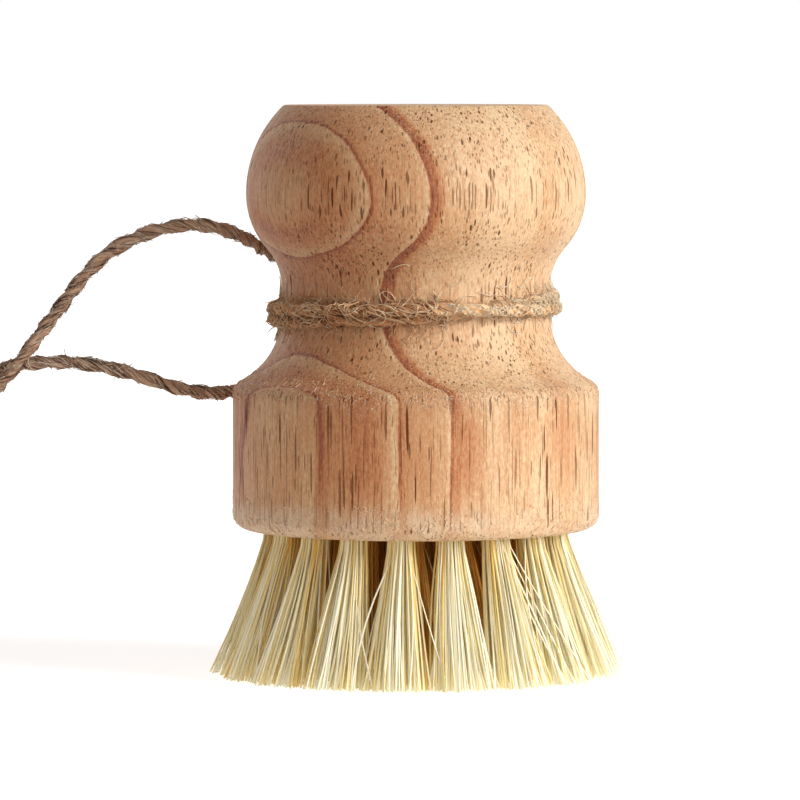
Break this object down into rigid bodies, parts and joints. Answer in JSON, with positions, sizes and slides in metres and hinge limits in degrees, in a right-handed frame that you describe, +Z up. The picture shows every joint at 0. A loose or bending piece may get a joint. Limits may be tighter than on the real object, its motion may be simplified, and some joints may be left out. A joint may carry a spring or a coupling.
{
  "type": "palm brush",
  "caption": "Turned wooden palm brush with a round knob, a narrow waist and a drum set with splayed tufts of plant fibre, and a twine hanging loop hitched round its waist.",
  "frame": {"origin": "on the turning axis, in the plane of the trimmed bristle tips that the brush stands on", "axes": "+Z up along the turning axis from the tips to the flat top of the knob; the front, where the picture looks from, is -Y; at rest the hanging loop lies out towards -X"},
  "size_m": [0.1218, 0.0665, 0.0931],
  "materials": {
    "turned_wood": "satin",
    "plant_fibre": "matte",
    "anchor_wire": "satin",
    "jute_twine": "matte"
  },
  "bodies": {
    "brush": {"handle_block": "turned_wood", "outer_tuft_01": "plant_fibre", "outer_tuft_02": "plant_fibre", "outer_tuft_03": "plant_fibre", "outer_tuft_04": "plant_fibre", "outer_tuft_05": "plant_fibre", "outer_tuft_06": "plant_fibre", "outer_tuft_07": "plant_fibre", "outer_tuft_08": "plant_fibre", "outer_tuft_09": "plant_fibre", "outer_tuft_10": "plant_fibre", "outer_tuft_11": "plant_fibre", "outer_tuft_12": "plant_fibre", "outer_tuft_13": "plant_fibre", "outer_tuft_14": "plant_fibre", "outer_tuft_15": "plant_fibre", "outer_tuft_16": "plant_fibre", "outer_tuft_17": "plant_fibre", "outer_tuft_18": "plant_fibre", "middle_tuft_01": "plant_fibre", "middle_tuft_02": "plant_fibre", "middle_tuft_03": "plant_fibre", "middle_tuft_04": "plant_fibre", "middle_tuft_05": "plant_fibre", "middle_tuft_06": "plant_fibre", "middle_tuft_07": "plant_fibre", "middle_tuft_08": "plant_fibre", "middle_tuft_09": "plant_fibre", "middle_tuft_10": "plant_fibre", "middle_tuft_11": "plant_fibre", "middle_tuft_12": "plant_fibre", "inner_tuft_01": "plant_fibre", "inner_tuft_02": "plant_fibre", "inner_tuft_03": "plant_fibre", "inner_tuft_04": "plant_fibre", "inner_tuft_05": "plant_fibre", "inner_tuft_06": "plant_fibre", "centre_tuft": "plant_fibre", "outer_anchors": "anchor_wire", "middle_anchors": "anchor_wire", "inner_anchors": "anchor_wire", "centre_anchor": "anchor_wire"},
    "twine_ring": {"waist_wrap": "jute_twine", "upper_loop_leg": "jute_twine", "lower_loop_leg": "jute_twine", "end_knot": "jute_twine"}
  },
  "joints": [
    {"name": "twine_turn", "type": "hinge", "parent": "brush", "child": "twine_ring", "pos_m": [0, 0, 0.05997], "axis": [0, 0, 1], "continuous": true}
  ]
}
